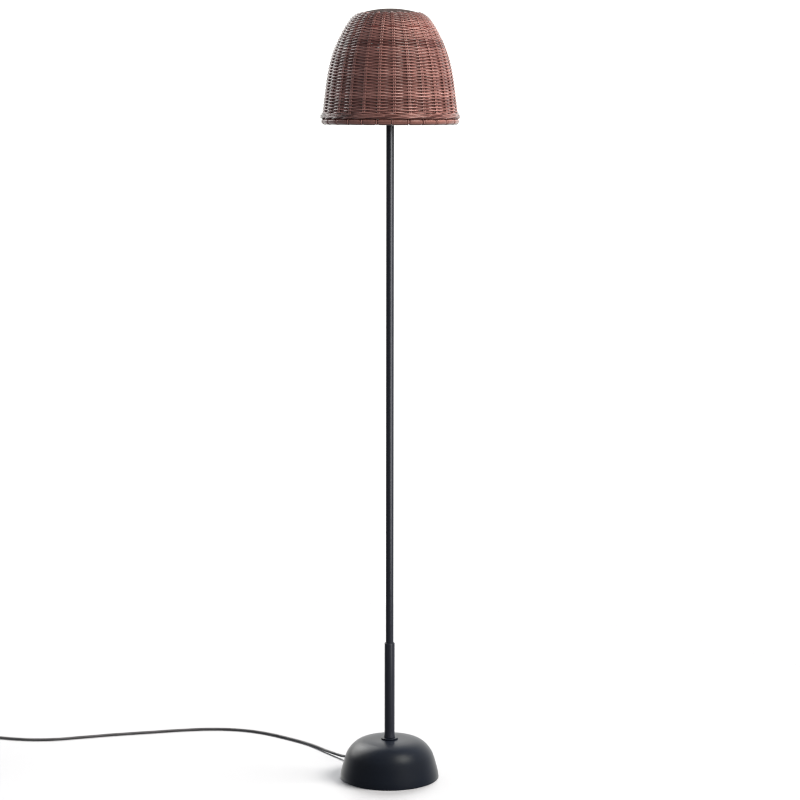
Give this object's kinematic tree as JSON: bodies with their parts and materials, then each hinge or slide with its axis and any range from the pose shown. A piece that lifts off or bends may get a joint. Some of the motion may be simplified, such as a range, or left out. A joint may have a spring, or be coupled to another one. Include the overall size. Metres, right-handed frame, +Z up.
{
  "type": "rattan floor lamp",
  "caption": "Floor lamp with a weighted domed steel base, a slim stepped stem, a domed woven rattan shade, and a cord with a foot switch and a flat plug",
  "frame": {"origin": "on the floor under the middle of the base, which is the lamp's axis", "axes": "+Z is up along the stem, the cord leaves the base towards -X and +Y, and +Y is the back"},
  "size_m": [1.03, 0.4665, 1.498],
  "materials": {
    "black_steel": "satin black powder coat",
    "felt": "dense black felt",
    "zinc_steel": "zinc plated",
    "iron": "raw casting",
    "black_rubber": "matte",
    "pale_plastic": "moulded nylon",
    "cord_cover": "braided black textile",
    "tie_strap": "black hook and loop strap",
    "brass": "turned",
    "black_plastic": "fine grain",
    "holder_plastic": "moulded phenolic",
    "porcelain": "white glaze",
    "bulb_metal": "pressed",
    "bulb_glass": "frosted",
    "frame_wire": "dark coated wire",
    "rattan": "stained and lightly varnished cane",
    "crown_wood": "smooth satin stain",
    "pin_metal": "nickel plated"
  },
  "bodies": {
    "lamp": {"base_dome": "black_steel", "foot_ring": "felt", "base_cover": "zinc_steel", "cover_screw_1": "zinc_steel", "cover_screw_2": "zinc_steel", "cover_screw_3": "zinc_steel", "ballast_disc": "iron", "tie_rod": "zinc_steel", "tie_rod_washer": "zinc_steel", "tie_rod_nut": "zinc_steel", "cord_bushing": "black_rubber", "cord_clamp": "pale_plastic", "clamp_screw_1": "zinc_steel", "clamp_screw_2": "zinc_steel", "inner_lead": "cord_cover", "collar_ring": "black_steel", "lower_sleeve": "black_steel", "sleeve_insert": "brass", "guide_bush": "black_plastic", "grub_screw": "zinc_steel", "pole_insert": "brass", "upper_pole": "black_steel", "holder_nipple": "zinc_steel", "holder_cap": "holder_plastic", "holder_shell": "holder_plastic", "holder_core": "porcelain", "centre_contact": "brass", "side_contact": "brass", "shade_ring_lower": "holder_plastic", "shade_ring_upper": "holder_plastic", "bulb_cap": "bulb_metal", "bulb_globe": "bulb_glass", "bulb_stem": "bulb_glass", "wire_frame": "frame_wire", "rim_hoop": "rattan", "rim_wale": "rattan", "shade_weave": "rattan", "crown_disc": "crown_wood", "cord_run": "cord_cover", "switch_base": "black_plastic", "switch_cover": "black_plastic", "switch_screw_1": "zinc_steel", "switch_screw_2": "zinc_steel", "switch_grip_in": "black_rubber", "switch_grip_out": "black_rubber", "switch_contact_block": "pale_plastic", "switch_terminal_in": "brass", "switch_terminal_out": "brass", "switch_spring": "zinc_steel", "cord_tail": "cord_cover", "cord_coil": "cord_cover", "coil_tie": "tie_strap", "cord_plug_lead": "cord_cover", "plug_body": "black_plastic", "plug_pin_1": "pin_metal", "plug_pin_2": "pin_metal"},
    "button": {"switch_button": "black_plastic"}
  },
  "joints": [
    {"name": "button_press", "type": "slide", "parent": "lamp", "child": "button", "axis": [0, 0, -1], "range_m": [0, 0.003], "stiffness_N_per_m": 600, "springref_m": -0.002, "deforming": ["switch_spring"]}
  ]
}
